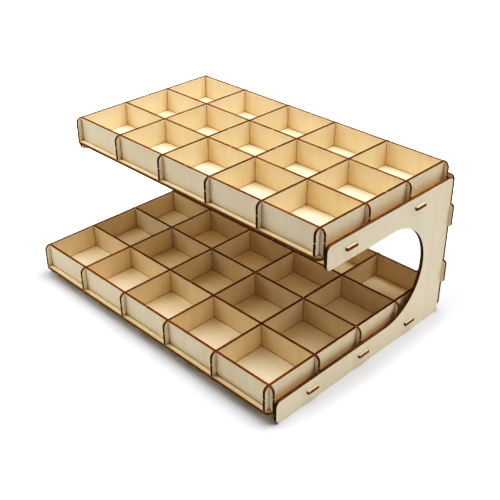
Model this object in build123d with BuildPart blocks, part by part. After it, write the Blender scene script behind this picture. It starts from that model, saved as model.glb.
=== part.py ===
from build123d import *
import os

# Two-tier rack for small paint pots, laser-cut from plywood and pushed together. Each
# tray is a slotted base with half-lapped dividers standing in it. Two C-shaped side
# panels carry both bases in slots, and an open back panel slots over the side panels'
# rear tabs. The bases and the side panels carry the load and are of thick sheet; the
# dividers and the back panel are of thin sheet.
#
# Millimetres. +Z is up, +X to the right and -Y to the front. The origin is on the
# surface the rack stands on, below the middle of its outer box.

# ---------------------------------------------------------------- driving dimensions
THICK_SHEET = 2.8           # bases and side panels
THIN_SHEET = 2.2            # dividers and back panel
COLUMNS = 5
LOWER_ROWS = 4
UPPER_ROWS = 3
CELL_WIDTH = 54.0           # from one cross divider's middle to the next
CELL_DEPTH = 47.7           # from one long divider's middle to the next
OVERHANG = 5.0              # how far a tray runs past its front and rear dividers' middles
SIDE_OVERHANG = 4.6         # the same, past its outer cross dividers' middles
DIVIDER_HEIGHT = 20.5       # above the base
FOOT_HEIGHT = 9.0           # from the ground to the lower base's underside
TIER_RISE = 106.3           # from the lower tray up to the upper one
ARM_HEIGHT = 19.6           # of a side panel's two arms
OPENING_INSET = 73.0        # from a side panel's back edge to its opening's arc centre
BACK_PANEL_BOTTOM = 4.5
BACK_PANEL_TOP = 127.0

# ------------------------------------------------------------------- joinery and trim
GAP = 0.05                  # clearance on each face of a tab or a sheet in its slot
END_GAP = 0.25              # clearance at each end of a tab in its slot
TAB_LENGTH = 14.0
SIDE_TAB_LENGTH = 11.4      # of the bases' tabs through the side panels
SIDE_TAB_PROUD = 1.8        # how far they stand out of the side panels
REAR_TAB_PROUD = 1.0        # how far the rear tabs stand out of the back panel
EAR_REACH = 2.8             # back panel's ears, past the side panels' outer faces
EAR_LENGTH = 20.5
EAR_SPACING = 52.5          # between the middles of the two ears on one side
LOWER_TAB_INSET = 42.8      # middle of the lower base's first side tab, from its front
LOWER_TAB_PITCH = 58.5
UPPER_TAB_INSET = 30.2
UPPER_TAB_PITCH = 80.4
REAR_TAB_PITCH = 90.0
DIVIDER_TOP_RADIUS = 4.5
DIVIDER_BOTTOM_RADIUS = 3.0
BASE_RADIUS = 5.0
SIDE_RADIUS = 4.5
BACK_RADIUS = 4.0
STILE_WIDTH = 17.0          # back panel's uprights, beside its window
WINDOW_BOTTOM = 24.0
WINDOW_TOP = 102.0
WINDOW_RADIUS = 20.0

# ---------------------------------------------------------------------- derived sizes
TRAY_WIDTH = COLUMNS * CELL_WIDTH + 2 * SIDE_OVERHANG
LOWER_TRAY_DEPTH = LOWER_ROWS * CELL_DEPTH + 2 * OVERHANG
UPPER_TRAY_DEPTH = UPPER_ROWS * CELL_DEPTH + 2 * OVERHANG
REAR_TAB_REACH = THIN_SHEET + REAR_TAB_PROUD
SIDE_TAB_REACH = THICK_SHEET + SIDE_TAB_PROUD
RACK_DEPTH = LOWER_TRAY_DEPTH + REAR_TAB_REACH
FRONT_Y = -RACK_DEPTH / 2                       # dividers' front ends, lower tray
REAR_Y = FRONT_Y + LOWER_TRAY_DEPTH             # back panel's front face
SIDE_X = TRAY_WIDTH / 2                         # side panels' inner faces
THICK_SLOT = THICK_SHEET + 2 * GAP              # slot that takes a thick sheet
THIN_SLOT = THIN_SHEET + 2 * GAP
SLOT_LENGTH = TAB_LENGTH + 2 * END_GAP
SIDE_SLOT_LENGTH = SIDE_TAB_LENGTH + 2 * END_GAP
LOWER_BASE_Z = FOOT_HEIGHT
UPPER_BASE_Z = FOOT_HEIGHT + TIER_RISE
PANEL_HEIGHT = TIER_RISE + ARM_HEIGHT
PANEL_FRONT_Y = FRONT_Y + OVERHANG              # in line with the front divider
OPENING_RADIUS = (TIER_RISE - ARM_HEIGHT) / 2
OPENING_CENTRE_Y = REAR_Y - OPENING_INSET
EAR_CENTRE_Z = (BACK_PANEL_BOTTOM + BACK_PANEL_TOP) / 2
EAR_HEIGHTS = [EAR_CENTRE_Z - EAR_SPACING / 2, EAR_CENTRE_Z + EAR_SPACING / 2]
REAR_TAB_XS = [-REAR_TAB_PITCH, 0, REAR_TAB_PITCH]


def cell_edges(pitch, cells, start):
    """Middles of the dividers that bound a row of cells."""
    return [start + pitch * index for index in range(cells + 1)]


def cell_middles(pitch, cells, start):
    """Middles of the cells in a row."""
    return [start + pitch * (index + 0.5) for index in range(cells)]


COLUMN_EDGES = cell_edges(CELL_WIDTH, COLUMNS, -COLUMNS * CELL_WIDTH / 2)
COLUMN_MIDDLES = cell_middles(CELL_WIDTH, COLUMNS, -COLUMNS * CELL_WIDTH / 2)

# Each tray: its rows, its base's underside and where its first long divider stands.
TRAYS = {
    "lower": {
        "rows": LOWER_ROWS,
        "base_z": LOWER_BASE_Z,
        "first_y": FRONT_Y + OVERHANG,
        "side_tab_ys": [FRONT_Y + LOWER_TAB_INSET + step * LOWER_TAB_PITCH for step in range(3)],
    },
    "upper": {
        "rows": UPPER_ROWS,
        "base_z": UPPER_BASE_Z,
        "first_y": FRONT_Y + OVERHANG + CELL_DEPTH,
        "side_tab_ys": [
            REAR_Y - UPPER_TRAY_DEPTH + UPPER_TAB_INSET + step * UPPER_TAB_PITCH for step in range(2)
        ],
    },
}

os.makedirs("parts", exist_ok=True)


def save(part, label):
    """Label a finished piece and write it to its own file."""
    part.label = label
    export_step(part, f"parts/{label}.step")


def draw_divider(low, high, base_top, crossings, cells, notch_at_top):
    """Outline of a divider from low to high, in the open sketch.

    Its ends have rounded corners, a tab under each cell drops through the base, and a
    half-height notch takes each divider that it crosses.
    """
    with Locations(((low + high) / 2, base_top + DIVIDER_HEIGHT / 2)):
        body = Rectangle(high - low, DIVIDER_HEIGHT)
    fillet(body.vertices().group_by(Axis.Y)[-1], DIVIDER_TOP_RADIUS)
    fillet(body.vertices().group_by(Axis.Y)[0], DIVIDER_BOTTOM_RADIUS)
    with Locations([(middle, base_top) for middle in cells]):
        Rectangle(TAB_LENGTH, THICK_SHEET, align=(Align.CENTER, Align.MAX))
    notch_depth = DIVIDER_HEIGHT / 2
    if notch_at_top:
        notch_middle = base_top + DIVIDER_HEIGHT - notch_depth / 2
    else:
        notch_middle = base_top + notch_depth / 2
    with Locations([(crossing, notch_middle) for crossing in crossings]):
        Rectangle(THIN_SLOT, notch_depth, mode=Mode.SUBTRACT)


for tier, tray in TRAYS.items():
    base_z = tray["base_z"]
    base_top = base_z + THICK_SHEET
    row_edges = cell_edges(CELL_DEPTH, tray["rows"], tray["first_y"])
    row_middles = cell_middles(CELL_DEPTH, tray["rows"], tray["first_y"])
    tray_front = row_edges[0] - OVERHANG
    tray_middle = (tray_front + REAR_Y) / 2

    # ------------------------------------------------------------------ slotted base
    with BuildPart() as base:
        with BuildSketch(Plane.XY.offset(base_z)) as base_outline:
            with Locations((0, tray_middle)):
                RectangleRounded(TRAY_WIDTH, REAR_Y - tray_front, BASE_RADIUS)
            with Locations([(0, y) for y in tray["side_tab_ys"]]):
                Rectangle(TRAY_WIDTH + 2 * SIDE_TAB_REACH, SIDE_TAB_LENGTH)
            with Locations([(x, REAR_Y) for x in REAR_TAB_XS]):
                Rectangle(TAB_LENGTH, 2 * REAR_TAB_REACH)
            with Locations([(x, y) for x in COLUMN_MIDDLES for y in row_edges]):
                Rectangle(SLOT_LENGTH, THIN_SLOT, mode=Mode.SUBTRACT)
            with Locations([(x, y) for x in COLUMN_EDGES for y in row_middles]):
                Rectangle(THIN_SLOT, SLOT_LENGTH, mode=Mode.SUBTRACT)
        extrude(amount=THICK_SHEET)
    save(base.part, f"{tier}_base")

    # ------------------------------------- dividers that run left to right, notched at the top
    for number, y in enumerate(row_edges, start=1):
        with BuildPart() as long_divider:
            with BuildSketch(Plane.XZ.offset(-y)):
                draw_divider(-SIDE_X, SIDE_X, base_top, COLUMN_EDGES, COLUMN_MIDDLES, True)
            extrude(amount=THIN_SHEET / 2, both=True)
        save(long_divider.part, f"{tier}_long_divider_{number}")

    # ----------------------------------- dividers that run front to back, notched underneath
    for number, x in enumerate(COLUMN_EDGES, start=1):
        with BuildPart() as cross_divider:
            with BuildSketch(Plane.YZ.offset(x)):
                draw_divider(tray_front, REAR_Y, base_top, row_edges, row_middles, False)
            extrude(amount=THIN_SHEET / 2, both=True)
        save(cross_divider.part, f"{tier}_cross_divider_{number}")

# ------------------------------------------------------------- C-shaped side panel outline
# Drawn with Y to the right and Z up. The lower arm reaches to the front, the upper arm
# stops one cell short of it, and a half circle joins them at the back of the opening.
UPPER_ARM_FRONT_Y = PANEL_FRONT_Y + CELL_DEPTH
UPPER_ARM_BOTTOM = PANEL_HEIGHT - ARM_HEIGHT

with BuildSketch() as side_outline:
    with BuildLine():
        outer_edge = Polyline(
            (OPENING_CENTRE_Y, ARM_HEIGHT),
            (PANEL_FRONT_Y, ARM_HEIGHT),
            (PANEL_FRONT_Y, 0),
            (REAR_Y, 0),
            (REAR_Y, PANEL_HEIGHT),
            (UPPER_ARM_FRONT_Y, PANEL_HEIGHT),
            (UPPER_ARM_FRONT_Y, UPPER_ARM_BOTTOM),
            (OPENING_CENTRE_Y, UPPER_ARM_BOTTOM),
        )
        ThreePointArc(
            outer_edge @ 1,
            (OPENING_CENTRE_Y + OPENING_RADIUS, ARM_HEIGHT + OPENING_RADIUS),
            outer_edge @ 0,
        )
    make_face()
    fillet([v for v in side_outline.vertices() if v.X != OPENING_CENTRE_Y], SIDE_RADIUS)
    with Locations([(REAR_Y, z) for z in EAR_HEIGHTS]):
        Rectangle(2 * REAR_TAB_REACH, TAB_LENGTH)
    for tray in TRAYS.values():
        slot_z = tray["base_z"] + THICK_SHEET / 2
        with Locations([(y, slot_z) for y in tray["side_tab_ys"]]):
            Rectangle(SIDE_SLOT_LENGTH, THICK_SLOT, mode=Mode.SUBTRACT)

# The two side panels are the same cutting, stood up on the left and on the right.
with BuildPart() as side_panel_right:
    with BuildSketch(Plane.YZ.offset(SIDE_X)):
        add(side_outline.sketch)
    extrude(amount=THICK_SHEET)
save(side_panel_right.part, "side_panel_right")

with BuildPart() as side_panel_left:
    with BuildSketch(Plane.YZ.offset(-SIDE_X)):
        add(side_outline.sketch)
    extrude(amount=-THICK_SHEET)
save(side_panel_left.part, "side_panel_left")

# ------------------------------------------------------------------------ back panel
# A plate with a rounded window. Two ears on each side close the slots that take the
# side panels' rear tabs.
BACK_WIDTH = TRAY_WIDTH + 2 * THICK_SHEET
BACK_HEIGHT = BACK_PANEL_TOP - BACK_PANEL_BOTTOM
WINDOW_WIDTH = BACK_WIDTH - 2 * STILE_WIDTH
WINDOW_HEIGHT = WINDOW_TOP - WINDOW_BOTTOM
PANEL_MIDDLE_X = SIDE_X + THICK_SHEET / 2

with BuildPart() as back_panel:
    with BuildSketch(Plane.XZ.offset(-REAR_Y)):
        with Locations((0, BACK_PANEL_BOTTOM + BACK_HEIGHT / 2)):
            RectangleRounded(BACK_WIDTH, BACK_HEIGHT, BACK_RADIUS)
        with Locations([(0, z) for z in EAR_HEIGHTS]):
            RectangleRounded(BACK_WIDTH + 2 * EAR_REACH, EAR_LENGTH, EAR_REACH - GAP)
        with Locations((0, WINDOW_BOTTOM + WINDOW_HEIGHT / 2)):
            RectangleRounded(WINDOW_WIDTH, WINDOW_HEIGHT, WINDOW_RADIUS, mode=Mode.SUBTRACT)
        with Locations([(x, z) for x in (-PANEL_MIDDLE_X, PANEL_MIDDLE_X) for z in EAR_HEIGHTS]):
            Rectangle(THICK_SLOT, SLOT_LENGTH, mode=Mode.SUBTRACT)
        rear_slot_heights = [tray["base_z"] + THICK_SHEET / 2 for tray in TRAYS.values()]
        with Locations([(x, z) for x in REAR_TAB_XS for z in rear_slot_heights]):
            Rectangle(SLOT_LENGTH, THICK_SLOT, mode=Mode.SUBTRACT)
    extrude(amount=-THIN_SHEET)
save(back_panel.part, "back_panel")
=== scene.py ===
import math
import random
from typing import NamedTuple

import bpy
from mathutils import Matrix, Vector


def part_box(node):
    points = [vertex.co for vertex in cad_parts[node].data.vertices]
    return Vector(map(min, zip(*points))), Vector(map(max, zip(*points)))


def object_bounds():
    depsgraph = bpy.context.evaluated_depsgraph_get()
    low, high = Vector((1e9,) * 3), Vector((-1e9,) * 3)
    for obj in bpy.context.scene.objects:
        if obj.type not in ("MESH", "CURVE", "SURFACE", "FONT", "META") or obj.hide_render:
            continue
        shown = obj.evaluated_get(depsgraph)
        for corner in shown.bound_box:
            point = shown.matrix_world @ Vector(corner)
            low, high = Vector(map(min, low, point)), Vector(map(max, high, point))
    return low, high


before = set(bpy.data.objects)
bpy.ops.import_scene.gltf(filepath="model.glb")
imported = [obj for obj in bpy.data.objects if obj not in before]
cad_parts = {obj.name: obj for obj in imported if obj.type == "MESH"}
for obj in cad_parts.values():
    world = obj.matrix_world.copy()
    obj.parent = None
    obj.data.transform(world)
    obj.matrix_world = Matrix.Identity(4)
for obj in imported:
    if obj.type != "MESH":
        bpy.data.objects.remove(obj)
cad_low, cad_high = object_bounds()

MM = 0.001
X, Y, Z = range(3)
TIERS = ("lower", "upper")
CENTRE = (cad_low + cad_high) / 2
SIZE = (cad_high - cad_low).length  # the object's diagonal, which the studio's lengths are given in
WHITE = (1, 1, 1, 1)


# ------------------------------------------------------------------ places read from the frame
def middle(node, axis):
    """Middle of a CAD node's box along one axis."""
    low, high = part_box(node)
    return (low[axis] + high[axis]) / 2


def family(tier, kind):
    """A tier's dividers of one kind, in order."""
    return sorted(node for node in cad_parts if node.startswith(f"{tier}_{kind}_divider"))


def spacing(nodes, axis):
    """(first middle, pitch) of evenly spaced CAD nodes."""
    first, last = middle(nodes[0], axis), middle(nodes[-1], axis)
    return first, (last - first) / (len(nodes) - 1)


def plate_axis(node):
    """The axis a plate is thin along."""
    low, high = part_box(node)
    return min(range(3), key=lambda axis: high[axis] - low[axis])


def half_thickness(node):
    """Half the thickness of a plate's sheet."""
    low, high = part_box(node)
    return min(high - low) / 2


# ---------------------------------------------------------------------------- node building
NOISE_ROUGHNESS = 0.55
NOISE_SHIFT = (1.0, 1.7, 0.6)  # noise is moved along this to show another part of it


class Graph:
    """A node material under construction. Inputs may be sockets or plain values."""

    def __init__(self, name):
        self.material = bpy.data.materials.new(name)
        self.material.use_nodes = True
        self.tree = self.material.node_tree
        self.tree.nodes.clear()

    def add(self, kind, inputs, **settings):
        """A new node of one kind, with its inputs joined or set."""
        node = self.tree.nodes.new("ShaderNode" + kind)
        for name, value in settings.items():
            setattr(node, name, value)
        for name, value in inputs.items():
            if isinstance(value, bpy.types.NodeSocket):
                self.tree.links.new(value, node.inputs[name])
            else:
                node.inputs[name].default_value = value
        return node

    def math(self, operation, a, b=0.0, clamp=False):
        """One step of arithmetic."""
        return self.add("Math", {0: a, 1: b}, operation=operation, use_clamp=clamp).outputs[0]

    def ramp(self, value, start, end, low=0.0, high=1.0):
        """Smooth change from low to high as value goes from start to end."""
        inputs = {"Value": value, "From Min": start, "From Max": end, "To Min": low, "To Max": high}
        return self.add("MapRange", inputs, interpolation_type="SMOOTHSTEP").outputs["Result"]

    def mix(self, factor, a, b, how="MIX"):
        """Mix of two colours, b's share being factor."""
        inputs = {0: factor, 6: a, 7: b}
        return self.add("Mix", inputs, data_type="RGBA", blend_type=how).outputs[2]

    def blend(self, factor, a, b):
        """Mix of two numbers, b's share being factor."""
        return self.add("Mix", {0: factor, 2: a, 3: b}, data_type="FLOAT").outputs[0]

    def place(self):
        """The point in the row frame, as a vector."""
        return self.add("TexCoord", {}).outputs["Object"]

    def split(self, vector):
        """The three parts of a vector."""
        return self.add("SeparateXYZ", {0: vector}).outputs

    def noise(self, point, waves, detail=3.0, distortion=0.0, shift=0.0):
        """Noise with so many waves per metre, every way alike or along X, Y and Z."""
        scale = waves if isinstance(waves, tuple) else (waves, waves, waves)
        start = tuple(shift * part for part in NOISE_SHIFT)
        placed = self.add("Mapping", {"Vector": point, "Scale": scale, "Location": start}).outputs[0]
        inputs = {
            "Vector": placed, "Scale": 1.0, "Detail": detail,
            "Roughness": NOISE_ROUGHNESS, "Distortion": distortion,
        }
        return self.add("TexNoise", inputs).outputs[0]

    def finish(self, colour, roughness, height, bump, strength=0.6, specular=0.25, glow=0.0):
        """Close the material with one shader. bump is the height of its relief in metres."""
        relief = self.add("Bump", {"Height": height, "Distance": bump, "Strength": strength})
        inputs = {
            "Base Color": colour, "Roughness": roughness, "Specular IOR Level": specular,
            "Normal": relief.outputs[0], "Emission Color": WHITE, "Emission Strength": glow,
        }
        shader = self.add("BsdfPrincipled", inputs)
        self.add("OutputMaterial", {"Surface": shader.outputs[0]})
        return self.material


def along(axis, value, others):
    """A vector with value on one axis and others on the rest."""
    return tuple(value if i == axis else others for i in range(3))


def near_repeats(g, coordinate, first, pitch):
    """Distance from the nearest of the planes that repeat every pitch."""
    shifted = g.math("SUBTRACT", coordinate, first)
    nearest = g.math("MULTIPLY", g.math("ROUND", g.math("DIVIDE", shifted, pitch)), pitch)
    return g.math("ABSOLUTE", g.math("SUBTRACT", shifted, nearest))


def beyond(g, coordinate, low, high):
    """How far a coordinate lies outside an interval. It is negative inside."""
    off_middle = g.math("ABSOLUTE", g.math("SUBTRACT", coordinate, (low + high) / 2))
    return g.math("SUBTRACT", off_middle, (high - low) / 2)


# ------------------------------------------------------------------------------- wood parts
FACE_PALE = (0.905, 0.797, 0.605, 1)
FACE_WARM = (0.858, 0.725, 0.508, 1)
FACE_FIBRE = (0.700, 0.500, 0.260, 1)
EDGE_DARK = (0.034, 0.010, 0.003, 1)
EDGE_BROWN = (0.120, 0.034, 0.007, 1)
EDGE_RUST = (0.300, 0.112, 0.022, 1)
# greyish umber edge colour; on the upper tray's cross dividers its greyness is a painted sheen of the
# overhead light
EDGE_UMBER_AND_SHEEN = (0.215, 0.130, 0.055, 1)
EDGE_CARAMEL = (0.420, 0.190, 0.050, 1)
# seam line colour: soot, and painted contact shade where parts meet
SOOT_AND_SHADE = (0.330, 0.170, 0.040, 1)
HEAT_TINT = (0.98, 0.84, 0.52, 1)

FACE_SKIN = 0.02 * MM        # a point this near a sheet's outer plane is on its face
WOOD_RELIEF = 0.06 * MM
FACE_SHINE, EDGE_SHINE = 0.25, 0.10
MEAN_WARMTH = 0.3            # of a face as yellow as the wood's own tone and bands make it

# Waves of each layer of noise per metre: along the grain and across it on a face, through the
# sheet and along its edge for the laser's ridges, and the same every way for the rest.
TONE_WAVES = (6, 18)
BAND_WAVES = (5, 130)
FIBRE_WAVES = (60, 2400)
FLECK_WAVES = (260, 1700)
RIDGE_WAVES = (40, 1500)
CORE_WAVES = 90
PATCH_WAVES = 26
SOOT_AND_SHADE_WAVES = 550

# Where each layer starts after the first, so that no two layers of a plate look alike, and
# how far apart the plates' own starts may be.
BANDS, FIBRES, FLECKS, CORE, RIDGES, PATCHES, RAGGED = 3, 7, 11, 20, 23, 29, 41
PLATE_STARTS = 50


class BurnAndSheen(NamedTuple):
    """How the laser browned a plate's cut edges, with a painted sheen that makes edges facing up
    lighter.
    """

    light: tuple      # colour of the lighter stretches
    on_top: float     # their share on edges that face up, raised by a painted sheen of the overhead light
    on_sides: float   # and on the other edges


def veneer(g, point, grain, seed, warmth):
    """(colour, roughness, height) of a sanded face with its grain along one axis."""
    tone = g.noise(point, along(grain, *TONE_WAVES), detail=2, shift=seed)
    bands = g.noise(point, along(grain, *BAND_WAVES), distortion=0.4, shift=seed + BANDS)
    fibres = g.noise(point, along(grain, *FIBRE_WAVES), detail=2, shift=seed + FIBRES)
    flecks = g.noise(point, along(grain, *FLECK_WAVES), detail=1, shift=seed + FLECKS)
    shade = g.math("MULTIPLY", g.ramp(bands, 0.35, 0.72), 0.5)
    shade = g.math("ADD", shade, g.ramp(tone, 0.3, 0.75, 0.0, 0.5))
    shade = g.math("ADD", shade, warmth - MEAN_WARMTH, clamp=True)
    colour = g.mix(shade, FACE_PALE, FACE_WARM)
    lines = g.math("MULTIPLY", g.ramp(fibres, 0.52, 0.78), 0.22)
    lines = g.math("ADD", lines, g.ramp(flecks, 0.66, 0.80, 0.0, 0.30), clamp=True)
    colour = g.mix(lines, colour, FACE_FIBRE)
    roughness = g.ramp(g.math("ADD", fibres, tone), 0.6, 1.4, 0.52, 0.72)
    return colour, roughness, fibres


def burnt_edge_and_sheen(g, point, across, low, high, seed, burn_and_sheen):
    """(colour, roughness, height) of a laser-cut edge, lighter towards the sheet's core, and lighter
    on edges that face up as a painted sheen.
    """
    depth = g.ramp(g.split(point)[across], low, high)
    wobble = g.noise(point, CORE_WAVES, detail=2, shift=seed + CORE)
    off_core = g.math("ABSOLUTE", g.math("SUBTRACT", depth, 0.5))
    off_core = g.math("ADD", off_core, g.math("MULTIPLY", wobble, 0.12))
    core = g.ramp(off_core, 0.12, 0.30, 1.0, 0.0)
    ridges = g.noise(point, along(across, *RIDGE_WAVES), detail=2, shift=seed + RIDGES)
    patches = g.noise(point, PATCH_WAVES, shift=seed + PATCHES)
    normal = g.add("NewGeometry", {}).outputs["Normal"]
    # painted sheen: edges that face up get more of the lighter colours, as if catching the overhead
    # light
    sheen_facing_up = g.ramp(g.split(normal)[Z], 0.2, 0.9)
    share = g.blend(sheen_facing_up, burn_and_sheen.on_sides, burn_and_sheen.on_top)
    ridge_tone = g.ramp(ridges, 0.35, 0.70)
    charred = g.mix(ridge_tone, EDGE_DARK, EDGE_BROWN)
    browned = g.mix(ridge_tone, EDGE_BROWN, burn_and_sheen.light)
    colour = g.mix(share, charred, browned)
    lighter = g.math("MULTIPLY", g.ramp(patches, 0.40, 0.75), g.blend(core, 0.20, 0.60))
    colour = g.mix(g.math("MULTIPLY", lighter, share), colour, EDGE_CARAMEL)
    roughness = g.ramp(ridges, 0.3, 0.7, 0.45, 0.75)
    return colour, roughness, ridges


def soot_and_shade_lines(g, point, colour, distance, strength, seed):
    """Thin brown lines where cut edges touch a face: partly soot, partly painted contact shade in the
    joint.
    """
    ragged = g.noise(point, SOOT_AND_SHADE_WAVES, shift=seed + RAGGED)
    reach = g.ramp(ragged, 0.3, 0.75, 0.25 * MM, 0.50 * MM)
    line = g.math("LESS_THAN", distance, reach)
    return g.mix(g.math("MULTIPLY", line, strength), colour, SOOT_AND_SHADE)


def plywood(node, grain, burn_and_sheen, warmth, seams=None, soot_and_shade=0.0, paler=None, heat=None):
    """Plywood for one plate, with its grain along one axis.

    seams gives the distance from its soot lines, partly painted contact shade, and soot is their
    strength. paler gives the strength of the pale places on its edges, and heat that of the yellow
    tint on its faces.
    """
    g = Graph("plywood_" + node)
    seed = random.Random(node).uniform(0, PLATE_STARTS)
    across = plate_axis(node)
    low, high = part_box(node)
    point = g.place()
    xyz = g.split(point)
    face, face_rough, face_height = veneer(g, point, grain, seed, warmth)
    edge, edge_rough, edge_height = burnt_edge_and_sheen(g, point, across, low[across], high[across], seed, burn_and_sheen)
    if heat is not None:
        face = g.mix(heat(g, xyz), face, HEAT_TINT, "MULTIPLY")
    if seams is not None:
        face = soot_and_shade_lines(g, point, face, seams(g, xyz), soot_and_shade, seed)
    if paler is not None:
        edge = g.mix(paler(g, xyz), edge, FACE_FIBRE)
    is_face = g.math("GREATER_THAN", beyond(g, xyz[across], low[across], high[across]), -FACE_SKIN)
    colour = g.mix(is_face, edge, face)
    roughness = g.blend(is_face, edge_rough, face_rough)
    height = g.blend(is_face, edge_height, face_height)
    shine = g.blend(is_face, EDGE_SHINE, FACE_SHINE)
    return g.finish(colour, roughness, height, WOOD_RELIEF, specular=shine)


def base_material(tier):
    """Tray floor, grain from left to right, with a soot line beside each divider that is partly
    painted contact shade.

    Its edges are paler near the top, and heat has yellowed its front and back.
    """
    node = f"{tier}_base"
    long_dividers, cross_dividers = family(tier, "long"), family(tier, "cross")
    long_first, long_pitch = spacing(long_dividers, Y)
    cross_first, cross_pitch = spacing(cross_dividers, X)
    half_sheet = half_thickness(long_dividers[0])
    long_low, long_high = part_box(long_dividers[0])
    cross_low, cross_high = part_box(cross_dividers[0])
    low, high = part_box(node)

    # soot lines beside the dividers, partly painted contact shade in the joints
    def seams(g, xyz):
        beside_long = near_repeats(g, xyz[Y], long_first, long_pitch)
        beside_cross = near_repeats(g, xyz[X], cross_first, cross_pitch)
        nearest = g.math("MINIMUM", beside_long, beside_cross)
        past_side = beyond(g, xyz[X], long_low[X], long_high[X])
        past_front = beyond(g, xyz[Y], cross_low[Y], cross_high[Y])
        off_tray = g.math("MAXIMUM", past_side, past_front)
        off_floor = g.math("MAXIMUM", off_tray, g.math("SUBTRACT", high[Z], xyz[Z]))
        return g.math("MAXIMUM", g.math("SUBTRACT", nearest, half_sheet), off_floor)

    def paler_near_top(g, xyz):
        return g.ramp(xyz[Z], high[Z] - 1.5 * MM, high[Z] - 0.2 * MM, 0.0, 0.55)

    def heated_rim(g, xyz):
        inside = g.math("MULTIPLY", beyond(g, xyz[Y], low[Y], high[Y]), -1)
        return g.ramp(inside, 0.3 * MM, 3.2 * MM, 0.7, 0.0)

    burn_and_sheen = BurnAndSheen(EDGE_RUST, on_top=1.0, on_sides=0.85)
    return plywood(node, X, burn_and_sheen, 0.05, seams, soot_and_shade=0.8, paler=paler_near_top, heat=heated_rim)


def divider_burn_and_sheen(tier, kind):
    """Long dividers have the reddest edges, and the upper tray's cross dividers the greyest, their
    grey being a painted sheen.
    """
    if kind == "long":
        return BurnAndSheen(EDGE_RUST, on_top=1.0, on_sides=0.3)
    if tier == "lower":
        return BurnAndSheen(EDGE_RUST, on_top=0.85, on_sides=0.15)
    # painted sheen: the greyer umber stands in for the overhead light glancing off these edges
    return BurnAndSheen(EDGE_UMBER_AND_SHEEN, on_top=0.6, on_sides=0.0)


def divider_material(node, tier, kind, crossed_kind):
    """Divider, grain upright, with soot lines along the base and at each crossing, partly painted
    contact shade.

    Its edges are paler in small nicks, in the middle of its length and at half its height.
    """
    length_axis = 1 - plate_axis(node)
    first, pitch = spacing(family(tier, crossed_kind), length_axis)
    base_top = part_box(f"{tier}_base")[1][Z]
    half_sheet = half_thickness(node)
    length_middle = middle(node, length_axis)
    half_height = (base_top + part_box(node)[1][Z]) / 2

    # soot lines along the base and at crossings, partly painted contact shade in the joints
    def seams(g, xyz):
        crossing = g.math("SUBTRACT", near_repeats(g, xyz[length_axis], first, pitch), half_sheet)
        above_base = g.math("SUBTRACT", xyz[Z], base_top)
        return g.math("MINIMUM", crossing, above_base)

    def nicks(g, xyz):
        from_middle = g.math("ABSOLUTE", g.math("SUBTRACT", xyz[length_axis], length_middle))
        from_half_height = g.math("ABSOLUTE", g.math("SUBTRACT", xyz[Z], half_height))
        nearest = g.math("MINIMUM", from_middle, from_half_height)
        return g.ramp(nearest, 0.25 * MM, 0.55 * MM, 0.85, 0.0)

    warmth = random.Random(node + "w").uniform(0.2, 0.45)
    return plywood(node, Z, divider_burn_and_sheen(tier, kind), warmth, seams, soot_and_shade=0.42, paler=nicks)


def side_panel_material(node):
    """Side panel, grain upright, smooth and pale."""
    return plywood(node, Z, BurnAndSheen(EDGE_UMBER_AND_SHEEN, on_top=1.0, on_sides=0.45), warmth=0.15)


def back_panel_material():
    """Back panel, grain from side to side."""
    return plywood("back_panel", X, BurnAndSheen(EDGE_RUST, on_top=1.0, on_sides=0.5), warmth=0.2)


# ------------------------------------------------------------------------------ dress pieces
CORNER_JOIN = 0.005 * MM     # corners closer than this are one
CORNER_WEAR = 0.12 * MM
CORNER_ANGLE = math.radians(40)


def dress(node, material):
    """Give a CAD node its material and take the sharpness off its corners."""
    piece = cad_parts[node]
    piece.data.materials.clear()
    piece.data.materials.append(material)
    weld = piece.modifiers.new("join_corners", "WELD")
    weld.merge_threshold = CORNER_JOIN
    worn = piece.modifiers.new("worn_corners", "BEVEL")
    worn.width = CORNER_WEAR
    worn.segments = 1
    worn.limit_method = "ANGLE"
    worn.angle_limit = CORNER_ANGLE


def dress_dividers(tier, kind, crossed_kind):
    """Dress a tier's dividers of one kind, which cross those of the other."""
    for node in family(tier, kind):
        dress(node, divider_material(node, tier, kind, crossed_kind))


for tier in TIERS:
    dress(f"{tier}_base", base_material(tier))
    dress_dividers(tier, "long", "cross")
    dress_dividers(tier, "cross", "long")
for node in ("side_panel_left", "side_panel_right"):
    dress(node, side_panel_material(node))
dress("back_panel", back_panel_material())

# ---------------------------------------------------------------------------------- studio
FLOOR_REACH = 12 * SIZE
FLOOR_DULL = (0.86, 0.885, 0.93, 1)
FLOOR_BRIGHT = (0.89, 0.915, 0.96, 1)
MOTTLE_WAVES, TOOTH_WAVES = 9, 900
FLOOR_RELIEF = 0.05 * MM
FLOOR_GLOW = 1.2


def direction(azimuth, elevation):
    """Unit vector from the object towards a place round it, in degrees."""
    a, e = math.radians(azimuth), math.radians(elevation)
    return Vector((math.sin(a) * math.cos(e), -math.cos(a) * math.cos(e), math.sin(e)))


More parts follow.
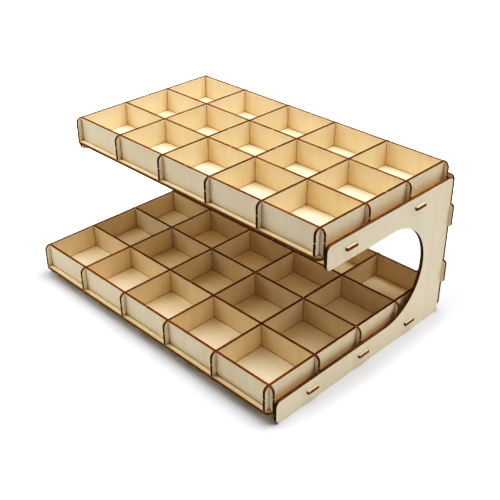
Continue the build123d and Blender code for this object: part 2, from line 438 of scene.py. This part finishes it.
def floor_material():
    """Matt white paper with a faint mottle, burnt out to white away from the object.

    Only the camera sees the burnt-out part glow, so that it doesn't light the object.
    """
    g = Graph("studio_floor")
    point = g.place()
    x, y = g.split(point)[:2]
    mottle = g.noise(point, MOTTLE_WAVES, detail=4)
    colour = g.mix(mottle, FLOOR_DULL, FLOOR_BRIGHT)
    roughness = g.ramp(mottle, 0.3, 0.7, 0.75, 0.85)
    side, front = cad_high[X], cad_high[Y]
    beside = g.ramp(g.math("ABSOLUTE", x), side, side + 0.18 * SIZE, 0.0, FLOOR_GLOW)
    before = g.ramp(g.math("ABSOLUTE", y), front + 0.08 * SIZE, front + 0.44 * SIZE, 0.0, FLOOR_GLOW)
    seen = g.add("LightPath", {}).outputs["Is Camera Ray"]
    glow = g.math("MULTIPLY", g.math("MAXIMUM", beside, before), seen)
    tooth = g.noise(point, TOOTH_WAVES)
    return g.finish(colour, roughness, tooth, FLOOR_RELIEF, strength=0.2, glow=glow)


def make_floor():
    """Square floor, far wider than the object."""
    r = FLOOR_REACH
    mesh = bpy.data.meshes.new("studio_floor")
    mesh.from_pydata([(-r, -r, 0), (r, -r, 0), (r, r, 0), (-r, r, 0)], [], [(0, 1, 2, 3)])
    mesh.materials.append(floor_material())
    floor = bpy.data.objects.new("studio_floor", mesh)
    bpy.context.scene.collection.objects.link(floor)


def make_camera():
    """Camera at the viewing angle. Its place is given in object sizes from the object's middle."""
    azimuth, elevation, roll = 45.38, 31.43, math.radians(-0.43)
    distance, to_right, downwards = 1.85032, 0.03512, 0.06173
    back = direction(azimuth, elevation)
    flat_right = direction(azimuth + 90, 0)
    flat_up = back.cross(flat_right)
    right = flat_right * math.cos(roll) + flat_up * math.sin(roll)
    up = flat_up * math.cos(roll) - flat_right * math.sin(roll)
    data = bpy.data.cameras.new("camera")
    data.lens = 60.757
    data.sensor_width = 36.0
    data.clip_start = 0.01
    data.clip_end = 100
    camera = bpy.data.objects.new("camera", data)
    camera.matrix_world = Matrix((right, up, back)).transposed().to_4x4()
    camera.location = CENTRE + (back * distance + flat_right * to_right - flat_up * downwards) * SIZE
    bpy.context.scene.collection.objects.link(camera)
    bpy.context.scene.camera = camera


class Softbox(NamedTuple):
    """A square lamp's distance and width, in object sizes."""

    distance: float
    width: float


FAR = Softbox(3.5, 1.6)
LOW = Softbox(3.0, 1.2)
NEAR = Softbox(1.6, 0.7)


def light(name, azimuth, elevation, softbox, power):
    """Softbox aimed at the object's middle."""
    data = bpy.data.lights.new(name, "AREA")
    data.shape = "SQUARE"
    data.size = softbox.width * SIZE
    data.energy = power
    lamp = bpy.data.objects.new(name, data)
    way = direction(azimuth, elevation)
    lamp.location = CENTRE + way * softbox.distance * SIZE
    lamp.rotation_mode = "QUATERNION"
    lamp.rotation_quaternion = way.to_track_quat("Z", "Y")
    bpy.context.scene.collection.objects.link(lamp)


def make_surround():
    """White room that the camera sees and that lights nothing."""
    world = bpy.data.worlds.new("surround")
    world.use_nodes = True
    tree = world.node_tree
    background = tree.nodes["Background"]
    background.inputs["Color"].default_value = WHITE
    rays = tree.nodes.new("ShaderNodeLightPath")
    tree.links.new(rays.outputs["Is Camera Ray"], background.inputs["Strength"])
    bpy.context.scene.world = world


def tone_curve(contrast, shoulder, steps=10):
    """Camera response: deeper shadows, and highlights that ease into white."""
    view = bpy.context.scene.view_settings
    view.view_transform = "Standard"
    view.look = "None"
    view.use_curve_mapping = True
    response = view.curve_mapping.curves[3]
    for step in range(1, steps):
        brightness = step / steps
        raised = brightness ** contrast
        response.points.new(brightness, (1 + shoulder) * raised / (1 + shoulder * raised))
    view.curve_mapping.update()


make_floor()
make_camera()
light("overhead", 0, 90, Softbox(2.2, 1.6), 3.35)
light("overhead_rear", 180, 78, FAR, 6.6)
light("high_rear_right", 150, 65, FAR, 3.5)
light("rear_right", 140, 45, FAR, 2.4)
light("low_rear_right", 135, 15, LOW, 1.0)
light("right_steep", 120, 75, FAR, 0.4)
light("right", 90, 40, Softbox(4.0, 1.8), 1.35)
light("low_right", 90, 7, LOW, 0.4)
light("low_right_near", 90, 12, NEAR, 0.15)
light("low_right_rear_near", 115, 12, NEAR, 0.12)
light("left_near_high", -50, 50, Softbox(1.7, 0.9), 1.33)
light("left_near", -60, 30, Softbox(2.0, 1.0), 0.6)
light("low_front_left", -30, 7, LOW, 1.5)
make_surround()
tone_curve(contrast=1.6, shoulder=0.8)
bpy.context.scene.cycles.diffuse_bounces = 8
bpy.context.scene.cycles.max_bounces = 12
